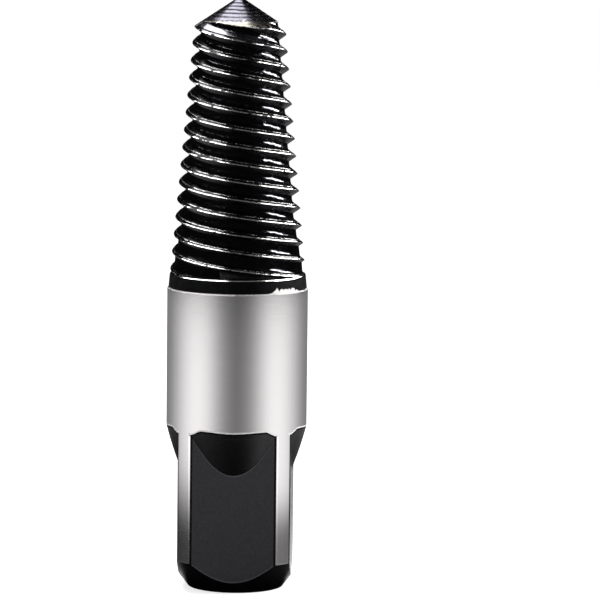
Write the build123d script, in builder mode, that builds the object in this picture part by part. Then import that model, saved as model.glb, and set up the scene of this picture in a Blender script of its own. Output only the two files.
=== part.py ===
from build123d import *
import math
import os

# Broken pipe extractor: one solid tool of hardened steel, standing on its square end.
# Units are mm. +Z runs along the axis from the square end to the point, the origin is
# the centre of the end face, and the flats of the square face X and Y.

# Drive square: four flats milled into a bar as thick as the collar.
ACROSS_FLATS = 16.0
FLAT_LENGTH = 17.0
END_CHAMFER_DEPTH = 3.25
END_CHAMFER_LENGTH = 4.28

# Run-out of the flats: a turned cone that swells from the flats to the collar.
RUNOUT_LENGTH = 6.2

# Collar: the plain ground cylinder, with its upper edge broken down to the head.
COLLAR_DIAMETER = 20.0
COLLAR_LENGTH = 19.7
SHOULDER_STEP = 0.16
SHOULDER_LENGTH = 0.15

# Head: a plain band, the tapered thread and a short blunted point.
HEAD_TAPER = 0.0905
BAND_LENGTH = 2.1
THREAD_LENGTH = 34.9
POINT_HALF_ANGLE = 56.5
POINT_BLUNT_RADIUS = 0.15

# Thread: left-hand grooves with three starts, seen as evenly spaced rows of ribs.
STARTS = 3
ROW_PITCH = 2.464
GROOVE_DEPTH = 1.06
RIB_CREST_WIDTH = 0.16

# Axial length of the flank above a rib's crest and of the steeper one below it.
UPPER_FLANK_LENGTH = 0.84
LOWER_FLANK_LENGTH = 0.70

# Height above the thread's end at which the lowest rib crosses the +X half plane.
FIRST_RIB_HEIGHT = 1.98

# Thread run-out: towards the collar the grooves get shallower, and end on a circle.
FADE_LENGTH = 8.0
LAST_GROOVE_DEPTH = 0.35

# How far the cutting shapes reach past the metal they remove.
CUTTER_OVERLAP = 0.5

COLLAR_RADIUS = COLLAR_DIAMETER / 2
HEAD_RADIUS = COLLAR_RADIUS - SHOULDER_STEP
FLAT_OFFSET = ACROSS_FLATS / 2
COLLAR_BOTTOM_Z = FLAT_LENGTH + RUNOUT_LENGTH
COLLAR_TOP_Z = COLLAR_BOTTOM_Z + COLLAR_LENGTH
THREAD_END_Z = COLLAR_TOP_Z + BAND_LENGTH
FADE_TOP_Z = THREAD_END_Z + FADE_LENGTH
POINT_BASE_Z = THREAD_END_Z + THREAD_LENGTH
LEAD = STARTS * ROW_PITCH
TAPER_ANGLE = math.degrees(math.atan(HEAD_TAPER))
POINT_SLOPE = math.tan(math.radians(POINT_HALF_ANGLE))


def rib_radius(z):
    """Radius over the crests of the ribs at height z."""
    return HEAD_RADIUS - HEAD_TAPER * (z - COLLAR_TOP_Z)


POINT_BASE_RADIUS = rib_radius(POINT_BASE_Z)
TIP_Z = POINT_BASE_Z + (POINT_BASE_RADIUS - POINT_BLUNT_RADIUS) / POINT_SLOPE

# A groove starts one row below the thread's end and leaves through the point.
GROOVE_START_Z = THREAD_END_Z - ROW_PITCH
GROOVE_END_Z = POINT_BASE_Z + LEAD / 2
GROOVE_START_RADIUS = rib_radius(GROOVE_START_Z)

# One groove, cut along a left-hand helix on the cone of the crests.
with BuildLine() as groove_path:
    Helix(
        pitch=LEAD / math.cos(math.radians(TAPER_ANGLE)),
        height=GROOVE_END_Z - GROOVE_START_Z,
        radius=GROOVE_START_RADIUS,
        cone_angle=-TAPER_ANGLE,
        lefthand=True,
    )

with BuildPart() as groove:
    with BuildSketch(Plane.XZ):
        with BuildLine():
            mouth_half_width = (ROW_PITCH - RIB_CREST_WIDTH) / 2
            outer_radius = GROOVE_START_RADIUS + CUTTER_OVERLAP
            root_radius = GROOVE_START_RADIUS - GROOVE_DEPTH
            outward_share = CUTTER_OVERLAP / GROOVE_DEPTH
            Polyline(
                (outer_radius, -mouth_half_width - UPPER_FLANK_LENGTH * outward_share),
                (root_radius, -mouth_half_width + UPPER_FLANK_LENGTH),
                (root_radius, mouth_half_width - LOWER_FLANK_LENGTH),
                (outer_radius, mouth_half_width + LOWER_FLANK_LENGTH * outward_share),
                close=True,
            )
        make_face()
    sweep(path=groove_path.line, is_frenet=True)

# Turn about Z that puts the middle of the groove half a row above the first rib.
first_groove_rise = FIRST_RIB_HEIGHT + ROW_PITCH / 2 + THREAD_END_Z - GROOVE_START_Z
groove_turn = 360 * first_groove_rise / LEAD

with BuildPart() as groove_cutter:
    with Locations(Location((0, 0, GROOVE_START_Z), (0, 0, groove_turn))):
        add(groove.part)
    # The core left standing near the collar, which rises to meet the crests.
    with BuildSketch(Plane.XZ):
        with BuildLine():
            end_radius = rib_radius(THREAD_END_Z)
            fade_radius = rib_radius(FADE_TOP_Z) - GROOVE_DEPTH
            clear_radius = COLLAR_RADIUS + 2 * CUTTER_OVERLAP
            Polyline(
                (0, COLLAR_BOTTOM_Z),
                (clear_radius, COLLAR_BOTTOM_Z),
                (clear_radius, THREAD_END_Z - LAST_GROOVE_DEPTH - clear_radius + end_radius),
                (end_radius - LAST_GROOVE_DEPTH, THREAD_END_Z),
                (fade_radius, FADE_TOP_Z),
                (fade_radius - ROW_PITCH, FADE_TOP_Z + ROW_PITCH),
                (0, FADE_TOP_Z + ROW_PITCH),
                close=True,
            )
        make_face()
    revolve(axis=Axis.Z, mode=Mode.SUBTRACT)

with BuildPart() as threaded_head:
    # Plain taper over the crests, carried on past the point.
    with BuildSketch(Plane.XZ):
        with BuildLine():
            Polyline(
                (0, COLLAR_TOP_Z),
                (HEAD_RADIUS, COLLAR_TOP_Z),
                (rib_radius(TIP_Z + LEAD), TIP_Z + LEAD),
                (0, TIP_Z + LEAD),
                close=True,
            )
        make_face()
    revolve(axis=Axis.Z)

    with PolarLocations(0, STARTS):
        add(groove_cutter.part, mode=Mode.SUBTRACT)

    # Turned point, cut through the ends of the grooves.
    with BuildSketch(Plane.XZ):
        with BuildLine():
            point_edge_radius = POINT_BASE_RADIUS + CUTTER_OVERLAP
            Polyline(
                (0, TIP_Z),
                (POINT_BLUNT_RADIUS, TIP_Z),
                (point_edge_radius, POINT_BASE_Z - CUTTER_OVERLAP / POINT_SLOPE),
                (point_edge_radius, TIP_Z + 2 * LEAD),
                (0, TIP_Z + 2 * LEAD),
                close=True,
            )
        make_face()
    revolve(axis=Axis.Z, mode=Mode.SUBTRACT)

with BuildPart() as extractor:
    # Square shank: a chamfered round bar with four flats.
    with BuildSketch(Plane.XZ):
        with BuildLine():
            Polyline(
                (0, 0),
                (COLLAR_RADIUS - END_CHAMFER_DEPTH, 0),
                (COLLAR_RADIUS, END_CHAMFER_LENGTH),
                (COLLAR_RADIUS, COLLAR_BOTTOM_Z),
                (0, COLLAR_BOTTOM_Z),
                close=True,
            )
        make_face()
    revolve(axis=Axis.Z)
    with BuildSketch(Plane.XY):
        Rectangle(ACROSS_FLATS, ACROSS_FLATS)
    extrude(amount=COLLAR_BOTTOM_Z, mode=Mode.INTERSECT)

    # Run-out cone of the flats, and the collar above it.
    with BuildSketch(Plane.XZ):
        with BuildLine():
            Polyline(
                (0, FLAT_LENGTH),
                (FLAT_OFFSET, FLAT_LENGTH),
                (COLLAR_RADIUS, COLLAR_BOTTOM_Z),
                (COLLAR_RADIUS, COLLAR_TOP_Z - SHOULDER_LENGTH),
                (HEAD_RADIUS, COLLAR_TOP_Z),
                (0, COLLAR_TOP_Z),
                close=True,
            )
        make_face()
    revolve(axis=Axis.Z)

    add(threaded_head.part)

extractor.part.label = "extractor"
print("valid", extractor.part.is_valid, "solids", len(extractor.part.solids()))
print("volume", extractor.part.volume, "faces", len(extractor.part.faces()))

os.makedirs("parts", exist_ok=True)
export_step(extractor.part, "parts/extractor.step")
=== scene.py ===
import math

import bpy
from mathutils import Matrix, Vector, noise


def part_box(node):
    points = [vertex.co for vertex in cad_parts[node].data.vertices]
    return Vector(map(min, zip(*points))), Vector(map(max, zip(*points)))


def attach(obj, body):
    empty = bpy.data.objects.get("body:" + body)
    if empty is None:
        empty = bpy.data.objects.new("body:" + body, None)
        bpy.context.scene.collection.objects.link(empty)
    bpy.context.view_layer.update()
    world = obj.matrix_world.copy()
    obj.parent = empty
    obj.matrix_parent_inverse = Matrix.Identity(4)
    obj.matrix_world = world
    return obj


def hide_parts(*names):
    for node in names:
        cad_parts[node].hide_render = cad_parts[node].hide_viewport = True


# Broken pipe extractor. Sizes are in mm, +Z runs from the square end to the point, and
# angles are counted anticlockwise from +X, seen from above.
MM = 0.001

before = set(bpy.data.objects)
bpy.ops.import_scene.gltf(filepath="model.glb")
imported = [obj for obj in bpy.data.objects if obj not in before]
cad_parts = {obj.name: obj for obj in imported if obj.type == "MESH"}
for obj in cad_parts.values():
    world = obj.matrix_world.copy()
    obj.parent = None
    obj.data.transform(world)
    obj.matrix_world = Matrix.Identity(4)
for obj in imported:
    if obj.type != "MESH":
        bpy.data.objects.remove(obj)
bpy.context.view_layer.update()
low_corner, high_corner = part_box("extractor")

# Outline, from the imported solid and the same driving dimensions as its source.
COLLAR_RADIUS = (high_corner[0] - low_corner[0]) / 2 / MM
TIP_Z = high_corner[2] / MM
FLAT_OFFSET = 8.0
FLAT_LENGTH = 17.0
END_CHAMFER_DEPTH = 3.25
END_CHAMFER_LENGTH = 4.28
RUNOUT_LENGTH = 6.2
RUNOUT_BULGE = 0.12
COLLAR_LENGTH = 19.7
SHOULDER_STEP = 0.16
SHOULDER_LENGTH = 0.15
HEAD_TAPER = 0.0905
BAND_LENGTH = 2.1
POINT_HALF_ANGLE = 56.5
POINT_BLUNT_RADIUS = 0.15

# Thread: left-hand, three starts, seen as rows of ribs.
STARTS = 3
ROW_PITCH = 2.464
GROOVE_DEPTH = 1.06
CREST_WIDTH = 0.16
UPPER_FLANK = 0.84
LOWER_FLANK = 0.70
RIB_HEIGHT_AT_X = 61.69
FADE_LENGTH = 8.0
LAST_GROOVE_DEPTH = 0.35

# Fine form of a rib: the lower corner of its crest is rounded, and the upper one is more worn
# and lies deeper. The root above it starts in a shallow curve.
CREST_ROUNDING = 0.05
CREST_WEAR = 0.075
CREST_TILT = 0.051
CREST_STEPS = 3
ROOT_SAG = 0.065
ROOT_CURVE_LENGTH = 0.5
ROOT_STEPS = 5

# Burr that wear has rolled up on the upper flank above each crest: its places as shares of the
# flank, and its height.
LIP_START = 0.3
LIP_MIDDLE = 0.36
LIP_END = 0.42
LIP_HEIGHT = 0.045

# Lines along the edges of the flats: a bevel, a black line of painted shade over it, and a bright
# line of painted highlight that starts at a fine step in the corner strip. A thin line of painted
# highlight also goes round the flats' ends, with a line of painted shade along the run-out.
EDGE_BEVEL = 0.06
EDGE_SHADE = 0.17
BLACK_OVERLAP = 0.17
BRIGHT_LINE = 0.28
EDGE_BREAK = 0.045
EDGE_LINE = 0.16

# Lower edge of the collar: a line of painted shadow under it and a line of painted highlight
# over it. Over a flat it rises a little from the middle outwards, and it is lowest at the corner
# strips.
FOOT_SHADOW = 0.26
FOOT_LINE = 0.2
FOOT_HUMP = 0.19
FOOT_DIP = 0.45
HUMP_SHARE = 0.73

# Bright ring at the top of the band, where the last grooves end.
RING_HEIGHT = 0.24
RING_STEP = 0.02
RING_ROUNDING = 0.06
RING_TOP_DROP = 0.09

# Turning rings of the point, whose depth strays from its mean along the point, and the worn
# lower edge of the point.
POINT_RING_PITCH = 0.46
POINT_RING_STEPS = 4
POINT_RING_DEPTH = 0.035
POINT_RING_MEAN = 0.6
POINT_RING_SPREAD = 0.8
POINT_RING_NOISE_SCALE = 1.7
POINT_EDGE_DROP = 0.08
POINT_EDGE_RISE = 0.03

# Fineness of the mesh.
COLUMNS = 300
RUNOUT_STEPS = 6
COLLAR_STEPS = 6
BAND_STEPS = 3
HALVINGS = 30

COLLAR_BOTTOM_Z = FLAT_LENGTH + RUNOUT_LENGTH
COLLAR_TOP_Z = COLLAR_BOTTOM_Z + COLLAR_LENGTH
HEAD_RADIUS = COLLAR_RADIUS - SHOULDER_STEP
THREAD_END_Z = COLLAR_TOP_Z + BAND_LENGTH
LEAD = STARTS * ROW_PITCH
END_FACE_RADIUS = COLLAR_RADIUS - END_CHAMFER_DEPTH
POINT_SLOPE = math.tan(math.radians(POINT_HALF_ANGLE))
FLAT_EDGE_ANGLE = math.acos(FLAT_OFFSET / COLLAR_RADIUS)


def crest_radius(z):
    """Radius over the ribs at height z."""
    return HEAD_RADIUS - HEAD_TAPER * (z - COLLAR_TOP_Z)


def point_radius(z):
    """Radius of the turned point at height z."""
    return POINT_BLUNT_RADIUS + (TIP_Z - z) * POINT_SLOPE


def smooth(value):
    """A soft step from 0 to 1 as the value goes from 0 to 1."""
    value = min(max(value, 0), 1)
    return value * value * (3 - 2 * value)


def from_flat(angle):
    """Angle from the middle of the nearest flat."""
    quarter = math.pi / 2
    return abs((angle + quarter / 2) % quarter - quarter / 2)


def collar_foot(angle):
    """Height of the collar's lower edge, which grinding has left a little wavy over the flats."""
    share = from_flat(angle) / FLAT_EDGE_ANGLE
    hump = FOOT_HUMP * smooth(share / HUMP_SHARE)
    dip = (FOOT_HUMP + FOOT_DIP) * smooth((share - HUMP_SHARE) / (1 - HUMP_SHARE))
    return COLLAR_BOTTOM_Z + hump - dip


def bell_radius(angle, z):
    """Radius of the bulged run-out between the flats and the collar."""
    share = min(max((z - FLAT_LENGTH) / (collar_foot(angle) - FLAT_LENGTH), 0), 1)
    return FLAT_OFFSET + share * (COLLAR_RADIUS - FLAT_OFFSET) + 4 * RUNOUT_BULGE * share * (1 - share)


def bell_height(angle, radius):
    """Height at which the run-out has this radius, found by halving."""
    low, high = FLAT_LENGTH, collar_foot(angle)
    for _ in range(HALVINGS):
        middle = (low + high) / 2
        if bell_radius(angle, middle) < radius:
            low = middle
        else:
            high = middle
    return high


def groove_depth_limit(z):
    """Depth of the grooves at height z, which fades towards the collar."""
    share = min(max((z - THREAD_END_Z) / FADE_LENGTH, 0), 1)
    return LAST_GROOVE_DEPTH + share * (GROOVE_DEPTH - LAST_GROOVE_DEPTH)


# Where the last grooves run up to the band, just below the thread's end.
GROOVE_RAMP_Z = THREAD_END_Z - RING_TOP_DROP


def rounded_corner(before, corner, after, radius, steps):
    """Points that replace a corner of an outline by a small curve."""
    towards_before = (Vector(before) - Vector(corner)).normalized() * radius
    towards_after = (Vector(after) - Vector(corner)).normalized() * radius
    points = []
    for step in range(steps + 1):
        share = step / steps
        start = Vector(corner) + towards_before * (1 - share)
        end = Vector(corner) + towards_after * share
        points.append(start * (1 - share) + end * share)
    return points


def rib_outline(depth):
    """One row of the thread from its rib's crest upwards: (rise, depth, kind of the face above)."""
    share = depth / GROOVE_DEPTH
    half_crest = CREST_WIDTH / 2
    crest_low = (-half_crest, 0)
    crest_high = (half_crest, CREST_TILT)
    root_low = (half_crest + UPPER_FLANK * share, depth)
    root_high = (ROW_PITCH - half_crest - LOWER_FLANK * share, depth)
    root_below = (root_high[0] - ROW_PITCH, depth)
    outline = []
    for rise, cut in rounded_corner(root_below, crest_low, crest_high, CREST_ROUNDING, CREST_STEPS):
        outline.append((rise, cut, "crest"))
    for rise, cut in rounded_corner(crest_low, crest_high, root_low, CREST_WEAR, CREST_STEPS + 1):
        outline.append((rise, cut, "crest"))
    outline[-1] = (*outline[-1][:2], "flank_worn")
    burr = ((LIP_START, 0, "lip"), (LIP_MIDDLE, LIP_HEIGHT, "lip"), (LIP_END, 0, "flank_up"))
    for along, height, kind in burr:
        rise = half_crest + UPPER_FLANK * share * along
        outline.append((rise, depth * along - height * share, kind))
    for step in range(ROOT_STEPS + 1):
        along = step / ROOT_STEPS
        rise = root_low[0] + ROOT_CURVE_LENGTH * along
        cut = depth + ROOT_SAG * (0.5 - (1 - along) ** 2)
        outline.append((rise, cut, "root"))
    outline.append((root_high[0], depth + ROOT_SAG / 2, "flank_down"))
    return outline


RIB_KINDS = [kind for _, _, kind in rib_outline(GROOVE_DEPTH)]
POINTS_PER_ROW = len(RIB_KINDS)
THREAD_KEY = 1000
POINT_KEY = 100000


def thread_column(angle):
    """Keyed (z, radius) points of the thread, from its end at the collar to the turned point."""
    first_row = -math.ceil((RIB_HEIGHT_AT_X - THREAD_END_Z) / ROW_PITCH) - 1
    last_row = math.ceil((TIP_Z - RIB_HEIGHT_AT_X) / ROW_PITCH) + STARTS
    points = []
    for row in range(first_row, last_row + 1):
        rib_z = RIB_HEIGHT_AT_X + row * ROW_PITCH - LEAD * angle / math.tau
        depth = groove_depth_limit(rib_z + ROW_PITCH / 2)
        for i, (rise, cut, _) in enumerate(rib_outline(depth)):
            z = rib_z + rise
            key = THREAD_KEY + row * POINTS_PER_ROW + i
            points.append((key, z, crest_radius(z) - cut))
    return points


def between(first, second, z):
    """Radius at height z on the line between two keyed points."""
    share = (z - first[1]) / (second[1] - first[1])
    return first[2] + share * (second[2] - first[2])


def trimmed_thread(angle):
    """The thread's points between its end ring and the turned point, with both ends added."""
    points = thread_column(angle)
    kept = []
    for lower, upper in zip(points, points[1:]):
        if lower[1] <= THREAD_END_Z < upper[1]:
            kept.append(("end", THREAD_END_Z, between(lower, upper, THREAD_END_Z)))
        if upper[1] <= THREAD_END_Z:
            continue
        gap_lower = point_radius(lower[1]) - lower[2]
        gap_upper = point_radius(upper[1]) - upper[2]
        if gap_upper <= 0:
            share = gap_lower / (gap_lower - gap_upper)
            z = lower[1] + share * (upper[1] - lower[1])
            edge_z = max(z - POINT_EDGE_DROP, (lower[1] + z) / 2)
            kept.append(("edge", edge_z, between(lower, upper, edge_z)))
            kept.append(("cut", z, point_radius(z)))
            return kept
        kept.append(upper)
    return kept


def edge_break(angle):
    """Depth by which the corner strip falls away at the inner side of its bright edge line."""
    past_line = (from_flat(angle) - FLAT_EDGE_ANGLE) * COLLAR_RADIUS - BLACK_OVERLAP
    return EDGE_BREAK if abs(past_line) < EDGE_BEVEL / 2 else 0


def section_radius(angle, z):
    """Radius of the shank and run-out in the direction of angle at height z."""
    flat = FLAT_OFFSET / math.cos(from_flat(angle))
    chamfer = END_FACE_RADIUS + z * END_CHAMFER_DEPTH / END_CHAMFER_LENGTH
    radius = min(COLLAR_RADIUS - edge_break(angle), flat, chamfer)
    if z > FLAT_LENGTH:
        radius = max(radius, min(bell_radius(angle, z), COLLAR_RADIUS))
    return radius


def shank_rows(angle):
    """Named (z, radius) points from the end face to the collar's lower edge."""
    flat = min(FLAT_OFFSET / math.cos(from_flat(angle)), COLLAR_RADIUS)
    chamfer_z = (flat - END_FACE_RADIUS) * END_CHAMFER_LENGTH / END_CHAMFER_DEPTH
    top = collar_foot(angle) - FOOT_SHADOW
    runout_z = min(bell_height(angle, flat), top - 2 * EDGE_LINE)
    rows = [("rim", 0, END_FACE_RADIUS - EDGE_BEVEL)]
    heights = [
        ("chamfer", EDGE_BEVEL),
        ("chamfer", chamfer_z * 0.5),
        ("chamfer_line", chamfer_z - EDGE_LINE),
        ("flat_line", chamfer_z),
        ("flat", chamfer_z + EDGE_LINE),
        ("flat", chamfer_z * 0.75 + runout_z * 0.25),
        ("flat", (chamfer_z + runout_z) / 2),
        ("flat", chamfer_z * 0.25 + runout_z * 0.75),
        ("curve_line", runout_z - EDGE_LINE),
        ("runout_line", runout_z),
        ("runout", runout_z + EDGE_LINE),
    ]
    for step in range(1, RUNOUT_STEPS):
        share = step / RUNOUT_STEPS
        heights.append(("runout", (runout_z + EDGE_LINE) * (1 - share) + top * share))
    heights.append(("collar_shadow", top))
    for name, z in heights:
        rows.append((name, z, section_radius(angle, z)))
    return rows


def collar_rows(angle):
    """Named (z, radius) points of the collar and the plain band."""
    foot_z = collar_foot(angle)
    shoulder_z = COLLAR_TOP_Z - SHOULDER_LENGTH
    rows = [("collar_foot", foot_z, COLLAR_RADIUS)]
    rows.append(("collar", foot_z + FOOT_LINE, COLLAR_RADIUS))
    for step in range(1, COLLAR_STEPS):
        z = foot_z + FOOT_LINE + (shoulder_z - foot_z - FOOT_LINE) * step / COLLAR_STEPS
        rows.append(("collar", z, COLLAR_RADIUS))
    rows.append(("collar_top", shoulder_z - EDGE_LINE / 2, COLLAR_RADIUS))
    rows.append(("shoulder", shoulder_z, COLLAR_RADIUS))
    rows.append(("band_foot", COLLAR_TOP_Z, HEAD_RADIUS))
    bare_z = COLLAR_TOP_Z + band_wear(angle)
    rows.append(("band", bare_z, crest_radius(bare_z)))
    ring_z = GROOVE_RAMP_Z - RING_HEIGHT
    for step in range(1, BAND_STEPS):
        z = bare_z + (ring_z - bare_z) * step / BAND_STEPS
        rows.append(("band", z, crest_radius(z)))
    rows.append(("ring", ring_z, crest_radius(ring_z)))
    edge_z = GROOVE_RAMP_Z - RING_ROUNDING
    rows.append(("ring", edge_z, crest_radius(edge_z) - RING_STEP))
    rows.append(("ramp", GROOVE_RAMP_Z, crest_radius(GROOVE_RAMP_Z) - RING_STEP - RING_ROUNDING))
    return rows


# Bare metal at the foot of the band: a thin uneven line all round, and a ragged patch to the
# right in the photo, where the black is worn off higher.
# Its steel is paler than the collar's: a painted highlight on top of the wear.
BARE_LEAST = 0.04
BARE_MORE = 0.03
BARE_NOISE_SCALE = 3.1
PATCH_ANGLE = math.radians(-43)
PATCH_HALF_WIDTH = math.radians(18)
PATCH_HEIGHT = 0.5
PATCH_STEEPNESS = 2.2
PATCH_RAGGED = 1.1


def band_wear(angle):
    """Height of the bare metal at the foot of the band."""
    place = Vector((math.cos(angle), math.sin(angle), 0)) * COLLAR_RADIUS
    ragged = noise.noise(place * BARE_NOISE_SCALE)
    distance = abs((angle - PATCH_ANGLE + math.pi) % math.tau - math.pi) / PATCH_HALF_WIDTH
    patch = smooth(PATCH_STEEPNESS * (1 - distance)) * PATCH_HEIGHT * (1 + PATCH_RAGGED * ragged)
    return BARE_LEAST + BARE_MORE * max(ragged, 0) + patch


def point_rows(cut_z):
    """Keyed (z, radius) points of the turned point above the thread, on rings of even pitch."""
    start_z = cut_z + POINT_EDGE_RISE
    rows = [(POINT_KEY + 1, start_z, point_radius(start_z))]
    step_height = POINT_RING_PITCH / POINT_RING_STEPS
    ring_rows = math.ceil((TIP_Z - THREAD_END_Z) / step_height)
    for i in range(ring_rows, -1, -1):
        z = TIP_Z - i * step_height
        if z < start_z + step_height / 3:
            continue
        groove = 0.5 - 0.5 * math.cos(math.tau * i / POINT_RING_STEPS)
        wave = noise.noise(Vector((0, 0, z * POINT_RING_NOISE_SCALE)))
        uneven = POINT_RING_MEAN + POINT_RING_SPREAD * wave
        depth = POINT_RING_DEPTH * groove * uneven if i else 0
        rows.append((POINT_KEY + 2 + ring_rows - i, z, point_radius(z) - depth))
    return rows


# Unevenness of the ribs: heights in mm and changes per mm of a slow and a quick noise.
FLAW_RADIUS = 9
SLOW_FLAW_HEIGHT = 0.022
SLOW_FLAW_SCALE = 0.55
QUICK_FLAW_HEIGHT = 0.016
QUICK_FLAW_SCALE = 2.1
QUICK_FLAW_SHIFT = Vector((40, 0, 0))


def rib_flaw(angle, z):
    """Small unevenness of the ribs, in mm, as the cut and blackened steel has."""
    place = Vector((math.cos(angle) * FLAW_RADIUS, math.sin(angle) * FLAW_RADIUS, z))
    slow = noise.noise(place * SLOW_FLAW_SCALE)
    quick = noise.noise(place * QUICK_FLAW_SCALE + QUICK_FLAW_SHIFT)
    return SLOW_FLAW_HEIGHT * slow + QUICK_FLAW_HEIGHT * quick


def column(angle):
    """One upright line of the tool: a list of (key, name, z, radius)."""
    rows = []
    for key, (name, z, radius) in enumerate(shank_rows(angle) + collar_rows(angle)):
        rows.append((key, name, z, radius))
    cut_z = TIP_Z
    thread = trimmed_thread(angle)
    # The thread's last point of its own comes before the point's edge and cut. Its row's upper
    # flank lies open under the point, and gets a much paler black there as a painted highlight.
    top_row = (thread[-3][0] - THREAD_KEY) // POINTS_PER_ROW
    for key, z, radius in thread:
        if key == "end":
            rows.append((len(rows), "ramp", z, radius))
        elif key == "edge":
            rows.append((POINT_KEY, "point_edge", z, radius))
        elif key == "cut":
            cut_z = z
        else:
            row, place = divmod(key - THREAD_KEY, POINTS_PER_ROW)
            name = RIB_KINDS[place]
            if row == top_row and name in ("flank_worn", "lip", "flank_up"):
                name = "open_flank"
            rows.append((key, name, z, radius + rib_flaw(angle, z)))
    for key, z, radius in point_rows(cut_z):
        rows.append((key, "point", z, radius))
    return rows


# Places of the painted shade and highlight lines beside each edge of a flat, in mm towards the corner
# strip.
BLACK_START = -EDGE_SHADE
BLACK_END = BLACK_OVERLAP
BRIGHT_END = BLACK_OVERLAP + BRIGHT_LINE
EDGE_COLUMNS = (BLACK_START, -EDGE_BEVEL, EDGE_BEVEL, BLACK_END, BRIGHT_END)


def column_angles():
    """Evenly spread angles, with extra ones beside each edge of the four flats."""
    angles = [math.tau * i / COLUMNS for i in range(COLUMNS)]
    for quarter in range(4):
        for side in (-1, 1):
            edge = quarter * math.pi / 2 + side * FLAT_EDGE_ANGLE
            reach = (BRIGHT_END + EDGE_LINE) / COLLAR_RADIUS
            angles = [a for a in angles if abs((a - edge + math.pi) % math.tau - math.pi) > reach]
            for step in EDGE_COLUMNS:
                angles.append((edge + side * step / COLLAR_RADIUS) % math.tau)
    return sorted(angles)


def face_kind(lower_name, angle):
    """Finish of a face, from the name of the row under it and the angle of its middle."""
    past_edge = (from_flat(angle) - FLAT_EDGE_ANGLE) * COLLAR_RADIUS
    on_shank = ("flat_line", "flat", "curve_line", "runout_line", "runout", "collar_shadow")
    # Over the flats, the collar's lower edge gets a line of painted highlight.
    if lower_name == "collar_foot":
        return "foot_highlight" if past_edge < BRIGHT_END else "strip"
    if lower_name == "chamfer_line" and past_edge > BLACK_END:
        return "chamfer"
    if lower_name not in on_shank or past_edge < BLACK_START:
        return lower_name
    # Beside each flat's edge: a line of painted shade, then a line of painted highlight on the strip.
    if past_edge < BLACK_END:
        return "painted_edge_shade"
    if past_edge < BRIGHT_END or lower_name == "flat_line":
        return "highlight_line"
    return "strip"


def stitched(left, right, angle):
    """Faces between two columns: rows with the same key meet, others are filled by triangles."""
    faces = []
    i = 0
    j = 0
    while i < len(left) - 1 or j < len(right) - 1:
        left_key = left[i + 1][0] if i < len(left) - 1 else math.inf
        right_key = right[j + 1][0] if j < len(right) - 1 else math.inf
        kind = face_kind(left[i][1], angle)
        if left_key == right_key:
            faces.append((kind, (left[i][2], right[j][2], right[j + 1][2], left[i + 1][2])))
            i += 1
            j += 1
        elif left_key < right_key:
            faces.append((kind, (left[i][2], right[j][2], left[i + 1][2])))
            i += 1
        else:
            faces.append((kind, (left[i][2], right[j][2], right[j + 1][2])))
            j += 1
    return faces


def tool_mesh():
    """Vertices in metres and faces with the name of their finish."""
    vertices = []
    columns = []
    angles = column_angles()
    for angle in angles:
        indexed = []
        for key, name, z, radius in column(angle):
            indexed.append((key, name, len(vertices)))
            vertices.append((radius * math.cos(angle) * MM, radius * math.sin(angle) * MM, z * MM))
        columns.append(indexed)
    # One turn further on, each thread row is three rows lower. The rows below the one at +X
    # have keys a little under THREAD_KEY.
    seam = []
    for key, name, index in columns[0]:
        on_thread = THREAD_KEY / 2 < key < POINT_KEY
        seam.append((key + STARTS * POINTS_PER_ROW if on_thread else key, name, index))
    faces = []
    for i, left in enumerate(columns):
        right = columns[i + 1] if i + 1 < len(columns) else seam
        next_angle = angles[i + 1] if i + 1 < len(columns) else math.tau + angles[0]
        faces += stitched(left, right, (angles[i] + next_angle) / 2)
    faces.append(("end", tuple(indexed[0][2] for indexed in reversed(columns))))
    faces.append(("point", tuple(indexed[-1][2] for indexed in columns)))
    return vertices, faces


# Tints as shares of a finish's shade, and the spans in which its roughness varies, as shares of
# the written one.
STEEL_TINT = (1, 0.972, 0.976)
OXIDE_TINT = (1, 0.98, 1.12)
OIL_TINT = (1, 1, 1.08)
EVEN_SPAN = (0.9, 1.15)
OXIDE_SPAN = (0.8, 1.3)
WORN_SPAN = (0.7, 1.4)
OILY_SPAN = (0.7, 1.6)

# Specular level of the oxide, and the depth of two grains in mm.
OXIDE_SPECULAR = 0.3
RING_BUMP = 0.0001
POINT_BUMP = 0.008

# Grain of the finishes: the scale of the noise per mm, its detail and its stretch per axis.
RING_GRAIN = (0.6, 4, (0.4, 0.4, 14))
OXIDE_GRAIN = (1.6, 6)
OILY_GRAIN = (1.1, 5)
WEAR_GRAIN = (1.0, 3, (0.7, 0.7, 1.8))
WORN_GRAIN = (3.1, 3)
POINT_GRAIN = (2.2, 5)

# Bare flecks in the black: small round spots that stand a little proud, in mm.
FLECK_SPACING = 1.2
FLECK_SIZE = 0.13
FLECK_HEIGHT = 0.04

# Worn black: its two colours, how softly they meet, the depth of its grain in mm, and the share
# of the places for a fleck that have one.
BARE_STEEL = (0.85, 0.84, 0.82)
WORN_BLACK = (0.05, 0.05, 0.054)
WEAR_SOFTNESS = 0.035
WORN_BUMP = 0.004
WORN_FLECK_SHARE = 0.2

# Tints of the point, the heights between which the pale one fades, and by how much that border
# wanders. The rings darken the tint as painted shade in their grooves, but not below a floor,
# which falls from the point's base up to the clear height.
POINT_LILAC = (0.27, 0.262, 0.315)
POINT_CREAM = (0.64, 0.61, 0.51)
POINT_RAGGED = 0.35
POINT_PALE_LOW = TIP_Z - 3.6
POINT_PALE_HIGH = TIP_Z - 3.1
POINT_RING_CLEAR = TIP_Z - 2.2
POINT_RING_FLOOR_LOW = 0.7
POINT_RING_FLOOR_HIGH = 0.12
POINT_RING_DARK = 0.2
POINT_RING_BRIGHT = 0.6
POINT_RING_DISTORTION = 3
POINT_RING_DETAIL = 3
POINT_RING_DETAIL_SCALE = 0.5

# Distance between the bands of a wave texture of scale 1.
WAVE_TEXTURE_PERIOD = math.tau / 20


def tinted(shade, tint):
    """A colour of that shade."""
    return tuple(shade * part for part in tint)


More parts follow.
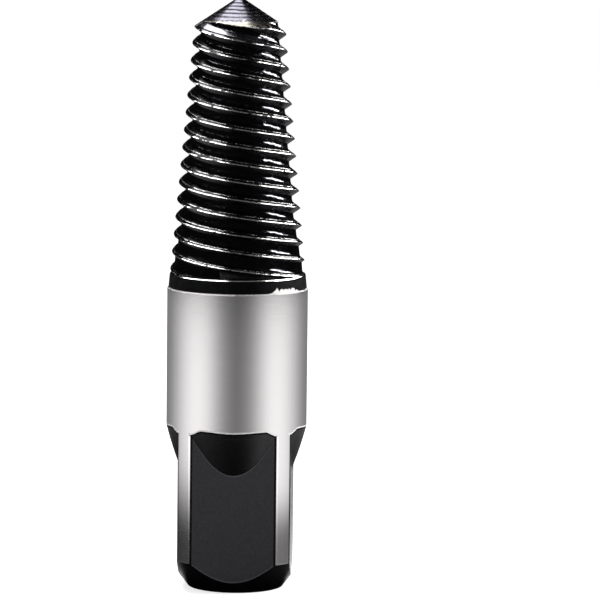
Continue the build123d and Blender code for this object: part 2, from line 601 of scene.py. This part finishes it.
def node_material(name, colour, metallic, roughness):
    """A material, its node tree and its principled shader."""
    material = bpy.data.materials.new(name)
    material.use_nodes = True
    tree = material.node_tree
    shader = tree.nodes["Principled BSDF"]
    shader.inputs["Base Color"].default_value = (*colour, 1)
    shader.inputs["Metallic"].default_value = metallic
    shader.inputs["Roughness"].default_value = roughness
    return material, tree, shader


def noise_node(tree, scale, detail, stretch=(1, 1, 1)):
    """Noise over the object's own coordinates in mm, stretched along the axes."""
    place = tree.nodes.new("ShaderNodeTexCoord")
    mapping = tree.nodes.new("ShaderNodeMapping")
    mapping.inputs["Scale"].default_value = tuple(scale * s / MM for s in stretch)
    tree.links.new(place.outputs["Object"], mapping.inputs["Vector"])
    texture = tree.nodes.new("ShaderNodeTexNoise")
    texture.inputs["Scale"].default_value = 1
    texture.inputs["Detail"].default_value = detail
    tree.links.new(mapping.outputs["Vector"], texture.inputs["Vector"])
    return texture


def ranged(tree, output, low, high, low_in=0.3, high_in=0.7):
    """A value mapped from the noise's usual span to the span low to high."""
    node = tree.nodes.new("ShaderNodeMapRange")
    node.inputs["From Min"].default_value = low_in
    node.inputs["From Max"].default_value = high_in
    node.inputs["To Min"].default_value = low
    node.inputs["To Max"].default_value = high
    tree.links.new(output, node.inputs["Value"])
    return node.outputs["Result"]


def maths(tree, operation, first, second):
    """A maths node over two values, each an output or a number."""
    node = tree.nodes.new("ShaderNodeMath")
    node.operation = operation
    for socket, value in zip(node.inputs, (first, second)):
        if isinstance(value, (int, float)):
            socket.default_value = value
        else:
            tree.links.new(value, socket)
    return node.outputs[0]


def flecks(tree, spacing, size, share):
    """Mask of round spots of that size, in a share of the cells that lie spacing mm apart."""
    place = tree.nodes.new("ShaderNodeTexCoord")
    cells = tree.nodes.new("ShaderNodeTexVoronoi")
    cells.inputs["Scale"].default_value = 1 / (spacing * MM)
    tree.links.new(place.outputs["Object"], cells.inputs["Vector"])
    random = tree.nodes.new("ShaderNodeSeparateColor")
    tree.links.new(cells.outputs["Color"], random.inputs["Color"])
    chosen = maths(tree, "LESS_THAN", random.outputs["Red"], share)
    spot = ranged(tree, cells.outputs["Distance"], 1, 0, size / spacing / 2, size / spacing)
    return maths(tree, "MULTIPLY", chosen, spot)


def shaded_by(tree, shader, mask, dark, bright):
    """Colours the surface from dark to bright by a mask."""
    ramp = tree.nodes.new("ShaderNodeValToRGB")
    ramp.color_ramp.elements[0].color = (*dark, 1)
    ramp.color_ramp.elements[1].color = (*bright, 1)
    tree.links.new(mask, ramp.inputs["Fac"])
    tree.links.new(ramp.outputs["Color"], shader.inputs["Base Color"])
    return ramp


def vary_roughness(tree, shader, texture, roughness, span):
    """Lets the roughness stray with a noise, over a span of shares of its value."""
    varied = ranged(tree, texture.outputs["Fac"], roughness * span[0], roughness * span[1])
    tree.links.new(varied, shader.inputs["Roughness"])


def bump(tree, shader, height, distance):
    """A bump of that many mm on the shader's normal."""
    node = tree.nodes.new("ShaderNodeBump")
    node.inputs["Strength"].default_value = 1
    node.inputs["Distance"].default_value = distance * MM
    tree.links.new(height, node.inputs["Height"])
    tree.links.new(node.outputs["Normal"], shader.inputs["Normal"])


def ground_steel(name, shade, roughness, metallic=1):
    """Steel with a fine even finish in rings: bright, or dark where it is blackened afterwards."""
    material, tree, shader = node_material(name, tinted(shade, STEEL_TINT), metallic, roughness)
    rings = noise_node(tree, *RING_GRAIN)
    vary_roughness(tree, shader, rings, roughness, EVEN_SPAN)
    bump(tree, shader, rings.outputs["Fac"], RING_BUMP)
    return material


def black_oxide(name, shade, roughness, grain_depth):
    """Steel blackened in a hot bath: dark and slightly grainy, with a soft gloss."""
    material, tree, shader = node_material(name, tinted(shade, OXIDE_TINT), 0, roughness)
    shader.inputs["Specular IOR Level"].default_value = OXIDE_SPECULAR
    grain = noise_node(tree, *OXIDE_GRAIN)
    vary_roughness(tree, shader, grain, roughness, OXIDE_SPAN)
    bump(tree, shader, grain.outputs["Fac"], grain_depth)
    return material


def glossy_black(name, shade, roughness, grain_depth=0.006, fleck_share=0):
    """Blackened and oiled steel that mirrors only strong lights, and may have bare flecks."""
    colour = tinted(shade, OIL_TINT)
    material, tree, shader = node_material(name, colour, 1, roughness)
    spots = flecks(tree, FLECK_SPACING, FLECK_SIZE, fleck_share)
    shaded_by(tree, shader, spots, colour, BARE_STEEL)
    grain = noise_node(tree, *OILY_GRAIN)
    vary_roughness(tree, shader, grain, roughness, OILY_SPAN)
    raised = maths(tree, "MULTIPLY", spots, FLECK_HEIGHT / grain_depth)
    bump(tree, shader, maths(tree, "ADD", grain.outputs["Fac"], raised), grain_depth)
    return material


def worn_black(name, threshold, roughness, metallic=1):
    """Blackened steel that is rubbed bright in broken patches."""
    material, tree, shader = node_material(name, WORN_BLACK, metallic, roughness)
    wear = noise_node(tree, *WEAR_GRAIN)
    mask = ranged(tree, wear.outputs["Fac"], 0, 1, threshold, threshold + WEAR_SOFTNESS)
    spots = flecks(tree, FLECK_SPACING, FLECK_SIZE, WORN_FLECK_SHARE)
    shaded_by(tree, shader, maths(tree, "MAXIMUM", mask, spots), WORN_BLACK, BARE_STEEL)
    grain = noise_node(tree, *WORN_GRAIN)
    vary_roughness(tree, shader, grain, roughness, WORN_SPAN)
    raised = maths(tree, "MULTIPLY", spots, FLECK_HEIGHT / WORN_BUMP)
    bump(tree, shader, maths(tree, "ADD", grain.outputs["Fac"], raised), WORN_BUMP)
    return material


def turning_rings(tree):
    """Uneven turning rings of the point, a mask for painted shade: 0 in their grooves, 1 between them.
    """
    place = tree.nodes.new("ShaderNodeTexCoord")
    wave = tree.nodes.new("ShaderNodeTexWave")
    wave.bands_direction = "Z"
    wave.inputs["Scale"].default_value = WAVE_TEXTURE_PERIOD / (POINT_RING_PITCH * MM)
    wave.inputs["Distortion"].default_value = POINT_RING_DISTORTION
    wave.inputs["Detail"].default_value = POINT_RING_DETAIL
    wave.inputs["Detail Scale"].default_value = POINT_RING_DETAIL_SCALE
    tree.links.new(place.outputs["Object"], wave.inputs["Vector"])
    return wave.outputs["Fac"]


def point_steel(name, roughness):
    """The turned point: a lilac temper tint with painted shade in its rings, rubbed pale at its base.
    """
    material, tree, shader = node_material(name, POINT_LILAC, 1, roughness)
    place = tree.nodes.new("ShaderNodeTexCoord")
    parts = tree.nodes.new("ShaderNodeSeparateXYZ")
    tree.links.new(place.outputs["Object"], parts.inputs["Vector"])
    grain = noise_node(tree, *POINT_GRAIN)
    ragged = ranged(tree, grain.outputs["Fac"], -POINT_RAGGED * MM, POINT_RAGGED * MM)
    height = maths(tree, "ADD", parts.outputs["Z"], ragged)
    rise = ranged(tree, height, 0, 1, POINT_PALE_LOW * MM, POINT_PALE_HIGH * MM)
    ramp = shaded_by(tree, shader, rise, POINT_CREAM, POINT_LILAC)
    floor = ranged(
        tree, height, POINT_RING_FLOOR_LOW, POINT_RING_FLOOR_HIGH,
        POINT_PALE_LOW * MM, POINT_RING_CLEAR * MM,
    )
    # The turning rings darken the colour: painted shade in their grooves.
    rings = ranged(tree, turning_rings(tree), 0, 1, POINT_RING_DARK, POINT_RING_BRIGHT)
    shine = maths(tree, "MAXIMUM", rings, floor)
    ring_shaded = tree.nodes.new("ShaderNodeVectorMath")
    ring_shaded.operation = "SCALE"
    tree.links.new(ramp.outputs["Color"], ring_shaded.inputs[0])
    tree.links.new(shine, ring_shaded.inputs["Scale"])
    tree.links.new(ring_shaded.outputs["Vector"], shader.inputs["Base Color"])
    vary_roughness(tree, shader, grain, roughness, OILY_SPAN)
    bump(tree, shader, grain.outputs["Fac"], POINT_BUMP)
    return material


def make_materials():
    """Each finish by the name of the faces that carry it."""
    flank = glossy_black("black_oxide_thread", shade=0.045, roughness=0.17, fleck_share=0.04)
    lower_flank = glossy_black("black_oxide_lower_flank", shade=0.03, roughness=0.2)
    # A much paler copy of the flank's black: a painted highlight where the flank lies open under the
    # point.
    open_flank = glossy_black("open_flank_highlight", shade=0.4, roughness=0.15)
    root = glossy_black("black_oxide_root", shade=0.16, roughness=0.09, grain_depth=0.002)
    band = glossy_black("black_oxide_band", shade=0.012, roughness=0.4, fleck_share=0.05)
    runout = ground_steel("black_oxide_runout", shade=0.18, roughness=0.3)
    crest = worn_black("worn_crest", threshold=0.4, roughness=0.16)
    ring = worn_black("worn_ring", threshold=0.3, roughness=0.15)
    lip = worn_black("worn_lip", threshold=0.42, roughness=0.25)
    # Worn in patches, which are partly diffuse so that they stay pale: wear with a painted highlight.
    point_edge = worn_black("worn_point_edge_highlight", threshold=0.4, roughness=0.3, metallic=0.3)
    flat = black_oxide("black_oxide_flat", shade=0.043, roughness=0.25, grain_depth=0.0002)
    # A paler copy of the flat's black: a painted highlight line round the flats' ends.
    flat_edge = black_oxide("flat_edge_highlight", shade=0.08, roughness=0.4, grain_depth=0.001)
    chamfer = black_oxide("black_oxide_chamfer", shade=0.002, roughness=0.4, grain_depth=0.001)
    # Near-black lines of painted shade beside the flats' edges, along the run-out and under the
    # collar.
    shadow = black_oxide("painted_shade_line", shade=0.001, roughness=0.5, grain_depth=0.001)
    steel = ground_steel("ground_steel", shade=0.72, roughness=0.12)
    # Paler than the collar's steel: a painted highlight line beside each flat's edge.
    line = ground_steel("painted_highlight_edge", shade=0.97, roughness=0.13)
    # Pale and partly diffuse, so it stays bright: a painted highlight line along the collar's lower
    # edge.
    foot = ground_steel("foot_highlight", shade=0.97, roughness=0.35, metallic=0.3)
    # Steel worn bare of the black, and paler than the collar's as a painted highlight on the shoulder
    # and the band's foot.
    worn_shoulder_highlight = ground_steel("worn_shoulder_highlight", shade=0.9, roughness=0.5)
    point = point_steel("tinted_point", roughness=0.22)
    return {
        "rim": chamfer, "chamfer": chamfer, "chamfer_line": chamfer, "end": chamfer,
        "flat_line": flat_edge, "flat": flat, "curve_line": flat_edge, "painted_edge_shade": shadow,
        "runout_line": shadow, "runout": runout, "collar_shadow": shadow,
        "strip": steel, "collar": steel, "collar_top": steel,
        "highlight_line": line, "foot_highlight": foot,
        "shoulder": worn_shoulder_highlight, "band_foot": worn_shoulder_highlight,
        "band": band, "ring": ring, "ramp": band,
        "crest": crest, "flank_worn": flank, "lip": lip, "flank_up": flank,
        "open_flank": open_flank, "root": root, "flank_down": lower_flank,
        "point_edge": point_edge, "point": point,
    }


def build_tool():
    """The dressed tool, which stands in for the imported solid."""
    vertices, faces = tool_mesh()
    mesh = bpy.data.meshes.new("extractor_dressed")
    mesh.from_pydata(vertices, [], [indices for _, indices in faces])
    finishes = make_materials()
    materials = []
    for material in finishes.values():
        if material not in materials:
            materials.append(material)
            mesh.materials.append(material)
    for polygon, (kind, _) in zip(mesh.polygons, faces):
        polygon.material_index = materials.index(finishes[kind])
        polygon.use_smooth = True
    mark_sharp_edges(mesh, [kind for kind, _ in faces])
    tool = bpy.data.objects.new("extractor_dressed", mesh)
    bpy.context.collection.objects.link(tool)
    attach(tool, "root")
    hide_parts("extractor")


def mark_sharp_edges(mesh, kinds):
    """Edges between two finishes are sharp, and the ribs and other curves are smooth."""
    kinds_at_edge = {}
    for polygon, kind in zip(mesh.polygons, kinds):
        for edge_key in polygon.edge_keys:
            kinds_at_edge.setdefault(edge_key, set()).add(kind)
    for edge in mesh.edges:
        edge.use_edge_sharp = len(kinds_at_edge[edge.key]) > 1


# Camera of the photograph: it looks at the tool from 0.62 m, slightly from above. Its angles
# are in radians, but its azimuth is in degrees, like those of the lights.
CAMERA_DISTANCE = 622.4
CAMERA_HEIGHT = 115.9
CAMERA_SIDE_ANGLE = 0.05087
CAMERA_YAW = -0.01426
CAMERA_PITCH = 0.1196
CAMERA_ROLL = 0.01044
FOCAL_LENGTH_PIXELS = 4411
PHOTO_PIXELS = 600
SENSOR_WIDTH = 36
CLIP_START = 50
VIEW_AZIMUTH = -90 + math.degrees(CAMERA_SIDE_ANGLE)


def build_camera():
    """The camera at the photograph's viewing angle."""
    data = bpy.data.cameras.new("camera")
    data.sensor_width = SENSOR_WIDTH
    data.lens = FOCAL_LENGTH_PIXELS * SENSOR_WIDTH / PHOTO_PIXELS
    data.clip_start = CLIP_START * MM
    camera = bpy.data.objects.new("camera", data)
    bpy.context.collection.objects.link(camera)
    heading = CAMERA_SIDE_ANGLE + CAMERA_YAW
    forward = Vector((
        -math.sin(heading) * math.cos(CAMERA_PITCH),
        math.cos(heading) * math.cos(CAMERA_PITCH),
        -math.sin(CAMERA_PITCH),
    ))
    level = Vector((math.cos(heading), math.sin(heading), 0))
    upright = level.cross(forward)
    right = level * math.cos(CAMERA_ROLL) + upright * math.sin(CAMERA_ROLL)
    up = upright * math.cos(CAMERA_ROLL) - level * math.sin(CAMERA_ROLL)
    place = Vector((
        CAMERA_DISTANCE * math.sin(CAMERA_SIDE_ANGLE),
        -CAMERA_DISTANCE * math.cos(CAMERA_SIDE_ANGLE),
        CAMERA_HEIGHT,
    )) * MM
    turn = Matrix((right, up, -forward)).transposed().to_4x4()
    camera.matrix_world = Matrix.Translation(place) @ turn
    bpy.context.scene.camera = camera


# Floor and world: their own light, and the white that only camera, glossy and transmission rays
# see on top of it. The floor reaches so many metres from the tool.
FLOOR_REACH = 6.0
FLOOR_SHADE = 0.85
FLOOR_ROUGHNESS = 0.9
FLOOR_WHITE = 0.72
WORLD_LIGHT = 0.35
WORLD_WHITE = 0.65


def white_to_rays(tree, shaded, strength):
    """Adds an even white, seen by camera, glossy and transmission rays, to a shaded surface."""
    path = tree.nodes.new("ShaderNodeLightPath")
    seen = maths(tree, "MAXIMUM", path.outputs["Is Camera Ray"], path.outputs["Is Glossy Ray"])
    seen = maths(tree, "MAXIMUM", seen, path.outputs["Is Transmission Ray"])
    white = tree.nodes.new("ShaderNodeEmission")
    tree.links.new(maths(tree, "MULTIPLY", seen, strength), white.inputs["Strength"])
    both = tree.nodes.new("ShaderNodeAddShader")
    tree.links.new(shaded, both.inputs[0])
    tree.links.new(white.outputs[0], both.inputs[1])
    return both.outputs[0]


def build_floor():
    """A plain pale floor that keeps the tool's shadow."""
    reach = FLOOR_REACH
    mesh = bpy.data.meshes.new("floor")
    corners = [(-reach, -reach, 0), (reach, -reach, 0), (reach, reach, 0), (-reach, reach, 0)]
    mesh.from_pydata(corners, [], [(0, 1, 2, 3)])
    floor = bpy.data.objects.new("floor", mesh)
    bpy.context.collection.objects.link(floor)
    colour = (FLOOR_SHADE, FLOOR_SHADE, FLOOR_SHADE)
    material, tree, shader = node_material("floor_white", colour, 0, FLOOR_ROUGHNESS)
    shader.inputs["Specular IOR Level"].default_value = 0
    output = tree.nodes["Material Output"]
    tree.links.new(white_to_rays(tree, shader.outputs[0], FLOOR_WHITE), output.inputs["Surface"])
    mesh.materials.append(material)


def build_world():
    """An even grey light for the surfaces, with white behind the tool."""
    world = bpy.data.worlds.new("studio")
    bpy.context.scene.world = world
    world.use_nodes = True
    tree = world.node_tree
    background = tree.nodes["Background"]
    background.inputs["Color"].default_value = (1, 1, 1, 1)
    background.inputs["Strength"].default_value = WORLD_LIGHT
    output = tree.nodes["World Output"]
    whitened = white_to_rays(tree, background.outputs[0], WORLD_WHITE)
    tree.links.new(whitened, output.inputs["Surface"])


# Softboxes: distance and sides in mm, azimuth from the camera's line and elevation in degrees.
# The one at the back is a strong light with a weak reflection, so it is made of two.
SOFTBOX_DISTANCE = 330
RIGHT_BOX = {"azimuth": 87, "elevation": 20, "side": 170}
RIGHT_BOX_RADIANCE = 8
BACK_BOX = {"azimuth": -148, "elevation": 68, "side": 200}
BACK_BOX_RADIANCE = 5
BACK_BOX_SHEEN = 3


def softbox(name, azimuth, elevation, side, radiance, glossy):
    """A square area light, aimed at the middle of the tool, and seen in reflections or not."""
    target = Vector((0, 0, TIP_Z / 2)) * MM
    turn, rise = math.radians(VIEW_AZIMUTH + azimuth), math.radians(elevation)
    level = math.cos(rise)
    direction = Vector((math.cos(turn) * level, math.sin(turn) * level, math.sin(rise)))
    data = bpy.data.lights.new(name, "AREA")
    data.shape = "SQUARE"
    data.size = side * MM
    data.energy = radiance * side * side * MM * MM * math.pi
    lamp = bpy.data.objects.new(name, data)
    lamp.location = target + direction * SOFTBOX_DISTANCE * MM
    lamp.rotation_euler = direction.to_track_quat("Z", "Y").to_euler()
    lamp.visible_glossy = glossy
    bpy.context.collection.objects.link(lamp)


def build_softboxes():
    """The lights of the studio."""
    softbox("softbox_right", **RIGHT_BOX, radiance=RIGHT_BOX_RADIANCE, glossy=False)
    softbox("softbox_top", **BACK_BOX, radiance=BACK_BOX_SHEEN, glossy=True)
    softbox("softbox_back", **BACK_BOX, radiance=BACK_BOX_RADIANCE, glossy=False)


# The studio round the tool, which only its reflections see: a dark tent with two lights in it,
# and a pale table. Azimuths are in degrees from the camera's line, and lengths in mm.
TENT_RADIUS = 380
TENT_HEIGHT = 560
TENT_TOP_RADIUS = 1
TENT_SHADE = 0.008
SURROUND_STEPS = 120

# The table glows most at both sides of the camera's line.
TABLE_Z = 0.05
TABLE_RADII = (5, 8, 15, 30, 42, 53, 60, 66, 72, 78, 84, 92, 100, 110, 120, 130, 150, 200, TENT_RADIUS)
TABLE_DARK = 0.22
TABLE_GLOW = 1.05
GLOW_ANGLE = 67
GLOW_FRONT_WIDTH = 38
GLOW_BACK_WIDTH = 48
GLOW_POWER = 2.4

# Near the tool the table is in shade, least at the right, and black at the tool's foot.
MAT_START = 53
MAT_END_LEFT = 142
MAT_END_RIGHT = 108
MAT_SHADE_FRONT = 0.03
MAT_SHADE_LEFT = 0.05
MAT_SHADE_RIGHT = 0.165
LEFT_BLEND = (50, 80)
RIGHT_BLEND = (15, 40)
FOOT_START = 8
FOOT_END = 15

# A strip of the table right behind the tool is white.
BEHIND_HALF_WIDTH = 14
BEHIND_SPREAD = 0.1
BEHIND_EDGE = 8
BEHIND_LENGTH = 120
BEHIND_SHADE = 2.4

# Both lights are equally bright. The low one at the right is mirrored by the thread's roots.
LIGHT_RADIANCE = 14
ROOT_LIGHT_RADIUS = 350
ROOT_LIGHT_SPAN = (66, 122)
ROOT_LIGHT_HEIGHTS = (128, 162)

# The band of light that the crests mirror stands highest in the camera's line, falls away with
# the square of the azimuth in hundreds of degrees, and is dim between its left and right part.
# Its elevation is counted from the middle of the head.
CREST_LIGHT_RADIUS = 370
CREST_LIGHT_SPAN = (-112, 140)
CREST_LIGHT_LOW = 90
CREST_LIGHT_HIGH = 450
CREST_LIGHT_STEP = 6
CREST_LIGHT_RISE = 41
CREST_LIGHT_BEND = 13.6
CREST_LIGHT_HALF_WIDTH = 4.5
CREST_LIGHT_LEFT = -18
CREST_LIGHT_RIGHT = 50
CREST_LIGHT_FADE = 14
CREST_LIGHT_DIM = 0.3
HEAD_MIDDLE_Z = 60


def mat_shade(azimuth):
    """Brightness of the shaded table near the tool, at an azimuth from the camera's line."""
    low, high = LEFT_BLEND if azimuth < 0 else RIGHT_BLEND
    side_shade = MAT_SHADE_LEFT if azimuth < 0 else MAT_SHADE_RIGHT
    blend = smooth((abs(azimuth) - low) / (high - low))
    return MAT_SHADE_FRONT + (side_shade - MAT_SHADE_FRONT) * blend


def table_light(azimuth, radius, z):
    """Brightness of the table at an azimuth from the camera's line and a radius."""
    azimuth = (azimuth + 180) % 360 - 180
    away = abs(azimuth) - GLOW_ANGLE
    if away > 0:
        falloff = (away / GLOW_BACK_WIDTH) ** 2
    else:
        falloff = (-away / GLOW_FRONT_WIDTH) ** GLOW_POWER
    glow = TABLE_DARK + TABLE_GLOW * math.exp(-falloff)
    mat_end = MAT_END_LEFT if azimuth < 0 else MAT_END_RIGHT
    shade = mat_shade(azimuth)
    mat = shade + (1 - shade) * smooth((radius - MAT_START) / (mat_end - MAT_START))
    foot = smooth((radius - FOOT_START) / (FOOT_END - FOOT_START))
    return max(glow * mat * foot, behind_light(azimuth, radius))


def behind_light(azimuth, radius):
    """Brightness of the white strip of the table right behind the tool."""
    if abs(azimuth) < 90:
        return 0
    aside = abs(radius * math.sin(math.radians(azimuth)))
    inside = smooth((BEHIND_HALF_WIDTH + BEHIND_SPREAD * radius - aside) / BEHIND_EDGE)
    return BEHIND_SHADE * inside * smooth((BEHIND_LENGTH - radius) / BEHIND_EDGE)


def tent_light(azimuth, radius, z):
    """Brightness of the dark tent."""
    return TENT_SHADE


def root_light(azimuth, radius, z):
    """Brightness of the low light at the right, which the roots of the thread mirror."""
    return LIGHT_RADIANCE


def crest_light(azimuth, radius, z):
    """Brightness of the bent band of light that the crests mirror, strong at both sides."""
    rise = math.degrees(math.atan((z - HEAD_MIDDLE_Z) / radius))
    middle = CREST_LIGHT_RISE - CREST_LIGHT_BEND * (azimuth / 100) ** 2
    inside = smooth(CREST_LIGHT_HALF_WIDTH - abs(rise - middle))
    left = smooth((CREST_LIGHT_LEFT - azimuth) / CREST_LIGHT_FADE)
    right = smooth((azimuth - CREST_LIGHT_RIGHT) / CREST_LIGHT_FADE)
    return TENT_SHADE + inside * (CREST_LIGHT_DIM + LIGHT_RADIANCE * (left + right))


def reflected_only(name, rings, shade, span=(0, 360)):
    """A surface of revolution over a span of azimuths, which only reflections see.

    The rings are pairs of a radius and a height, and shade gives the brightness at a place.
    """
    steps = SURROUND_STEPS
    vertices = []
    colours = []
    for radius, z in rings:
        for step in range(steps + 1):
            azimuth = span[0] + (span[1] - span[0]) * step / steps
            turn = math.radians(azimuth + VIEW_AZIMUTH)
            vertices.append((radius * math.cos(turn) * MM, radius * math.sin(turn) * MM, z * MM))
            value = shade(azimuth, radius, z)
            colours.append((value, value, value, 1))
    faces = []
    for ring in range(len(rings) - 1):
        for step in range(steps):
            here = ring * (steps + 1) + step
            faces.append((here, here + 1, here + steps + 2, here + steps + 1))
    mesh = bpy.data.meshes.new(name)
    mesh.from_pydata(vertices, [], faces)
    attribute = mesh.color_attributes.new("shade", "FLOAT_COLOR", "POINT")
    for item, colour in zip(attribute.data, colours):
        item.color = colour
    surround = bpy.data.objects.new(name, mesh)
    bpy.context.collection.objects.link(surround)
    material = bpy.data.materials.new(name)
    material.use_nodes = True
    tree = material.node_tree
    tree.nodes.remove(tree.nodes["Principled BSDF"])
    shade_node = tree.nodes.new("ShaderNodeVertexColor")
    shade_node.layer_name = "shade"
    glow = tree.nodes.new("ShaderNodeEmission")
    tree.links.new(shade_node.outputs["Color"], glow.inputs["Color"])
    tree.links.new(glow.outputs[0], tree.nodes["Material Output"].inputs["Surface"])
    mesh.materials.append(material)
    surround.visible_camera = False
    surround.visible_diffuse = False
    surround.visible_shadow = False


def build_surround():
    """The table and the dark tent that the polished and blackened surfaces mirror."""
    rings = [(radius, TABLE_Z) for radius in TABLE_RADII]
    reflected_only("table", rings, table_light)
    rings = [(TENT_RADIUS, TABLE_Z), (TENT_RADIUS, TENT_HEIGHT), (TENT_TOP_RADIUS, TENT_HEIGHT)]
    reflected_only("tent", rings, tent_light)
    rings = [(ROOT_LIGHT_RADIUS, z) for z in ROOT_LIGHT_HEIGHTS]
    reflected_only("root_light", rings, root_light, ROOT_LIGHT_SPAN)
    heights = range(CREST_LIGHT_LOW, CREST_LIGHT_HIGH, CREST_LIGHT_STEP)
    rings = [(CREST_LIGHT_RADIUS, z) for z in heights]
    reflected_only("crest_light", rings, crest_light, CREST_LIGHT_SPAN)


build_tool()
build_camera()
build_floor()
build_world()
build_softboxes()
build_surround()

bpy.context.scene.view_settings.view_transform = "Standard"
